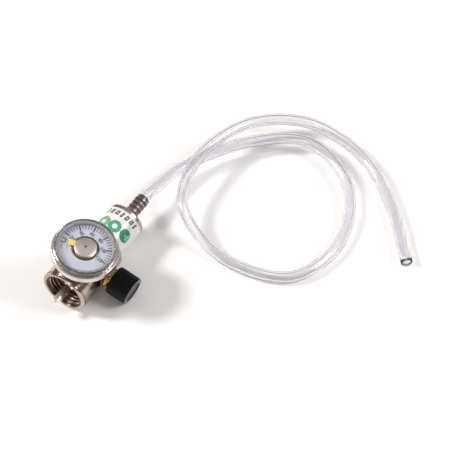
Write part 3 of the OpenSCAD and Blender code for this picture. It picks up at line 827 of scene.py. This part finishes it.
def build_label():
    """Green ring shapes that step from pale to deep round the wrap, and a row of small dark marks."""
    low = span("label", AXIS_X)[0]
    greens = [(0.17, 0.36, 0.25), (0.055, 0.34, 0.18), (0.0, 0.24, 0.10)]
    turns = (-34, 4, 45)
    hole_radii = (1.7, 1.9, 0.5)
    for i, (green, turn, hole) in enumerate(zip(greens, turns, hole_radii)):
        centre = label_spot(low + 8.5, turn)
        disc = patch(f"label_disc_{i + 1}", disc_rings(centre, hole, 4.6), 0.03)
        add(disc, ink(f"green_ink_{i + 1}", green), "regulator", "label_film")
    white = ink("white_ink", (0.8, 0.8, 0.79))
    for i in range(5):
        x, y = label_spot(low + 6.9 + 0.95 * i, 58)
        box = slanted((x, y), 0.5, 3.6 - 0.3 * i, 0.5)
        add(patch(f"label_ray_{i + 1}", [box[1], box[0]], 0.06), white, "regulator", "label_film")
    black = ink("black_ink", (0.02, 0.018, 0.018))
    for i in range(7):
        outside, inside = slanted(label_spot(low + 18.4, -48 + 16.2 * i), 4.0, 2.3 if i % 3 else 1.4)
        add(patch(f"label_mark_{i + 1}", [inside, outside], 0.03), black, "regulator", "label_film")


def floor():
    size = 3.0
    bm = bmesh.new()
    bmesh.ops.create_grid(bm, x_segments=2, y_segments=2, size=size)
    mesh = bpy.data.meshes.new("floor")
    bm.to_mesh(mesh)
    bm.free()
    obj = bpy.data.objects.new("floor", mesh)
    obj.location = (0.1, -0.07, FLOOR_Z - 0.0001)
    bpy.context.scene.collection.objects.link(obj)
    s = Shader("floor_white", Roughness=0.6)
    tone = s.mix(s.noise(s.local(), 0.02), (0.97, 0.96, 0.955), (0.95, 0.94, 0.935))
    s.put(s.surface.inputs["Base Color"], tone)
    s.put(s.surface.inputs["Specular IOR Level"], 0.2)
    obj.data.materials.append(s.material)


def area_light(name, direction, distance, size, power, colour=(1, 1, 1)):
    """Soft square light aimed at the object from a direction."""
    light = bpy.data.lights.new(name, "AREA")
    light.shape = "RECTANGLE"
    light.size, light.size_y = size
    light.energy = power
    light.color = colour
    obj = bpy.data.objects.new(name, light)
    aim = Vector((0.08, -0.06, 0.0))
    obj.location = aim + Vector(direction).normalized() * distance
    obj.rotation_euler = (aim - obj.location).to_track_quat("-Z", "Y").to_euler()
    bpy.context.scene.collection.objects.link(obj)


VIEW_AZIMUTH = math.radians(-57.3)
VIEW_ELEVATION = math.radians(53.0)
SCREEN_RIGHT = Vector((math.cos(VIEW_AZIMUTH), math.sin(VIEW_AZIMUTH), 0))
SCREEN_AWAY = Vector((-math.sin(VIEW_AZIMUTH), math.cos(VIEW_AZIMUTH), 0))


def lights():
    """A soft key from the left, a weaker light on the right, a small one at the socket, a dim warm room."""
    left = -SCREEN_RIGHT + SCREEN_AWAY * 0.12 + Vector((0, 0, 0.93))
    right = SCREEN_RIGHT - SCREEN_AWAY * 0.1 + Vector((0, 0, 0.85))
    area_light("key_left", left, 2.6, (0.55, 0.55), 54, (1.0, 0.99, 0.975))
    area_light("socket_kick", Vector((-1.0, -0.1, 0.55)), 1.2, (0.25, 0.25), 0.8, (1.0, 0.96, 0.9))
    area_light("fill_right", right, 2.0, (0.7, 0.7), 19.2, (0.99, 0.99, 1.0))
    world = bpy.data.worlds.new("studio")
    world.use_nodes = True
    tree = world.node_tree
    coords = tree.nodes.new("ShaderNodeTexCoord")
    parts = tree.nodes.new("ShaderNodeSeparateXYZ")
    ramp = tree.nodes.new("ShaderNodeValToRGB")
    tree.links.new(coords.outputs["Generated"], parts.inputs[0])
    tree.links.new(parts.outputs[2], ramp.inputs[0])
    ramp.color_ramp.elements[0].position = 0.05
    ramp.color_ramp.elements[0].color = (0.075, 0.05, 0.04, 1)
    ramp.color_ramp.elements[1].position = 0.95
    ramp.color_ramp.elements[1].color = (0.46, 0.45, 0.44, 1)
    tree.links.new(ramp.outputs[0], tree.nodes["Background"].inputs[0])
    bpy.context.scene.world = world


def camera():
    """Long lens, looking down past the gauge towards the hose."""
    data = bpy.data.cameras.new("camera")
    data.sensor_width = 36.0
    data.lens = 120.0
    obj = bpy.data.objects.new("camera", data)
    away = SCREEN_AWAY * math.cos(VIEW_ELEVATION) - Vector((0, 0, math.sin(VIEW_ELEVATION)))
    aim = Vector((0.0839, -0.0678, 0.0256))
    obj.location = aim - away * 0.9506
    obj.rotation_euler = away.to_track_quat("-Z", "Y").to_euler()
    bpy.context.scene.collection.objects.link(obj)
    bpy.context.scene.camera = obj


def build():
    dress_nodes()
    add(knob_shell(), black_knob("knob_black"), "knob_and_stem", "black_knob", "knob")
    add(hose_tube(), clear_pvc("hose_pvc", hose_length()), "regulator", "clear_pvc", "hose")
    build_gauge()
    build_label()
    floor()
    lights()
    camera()
    bpy.context.scene.view_settings.view_transform = "Standard"


build()
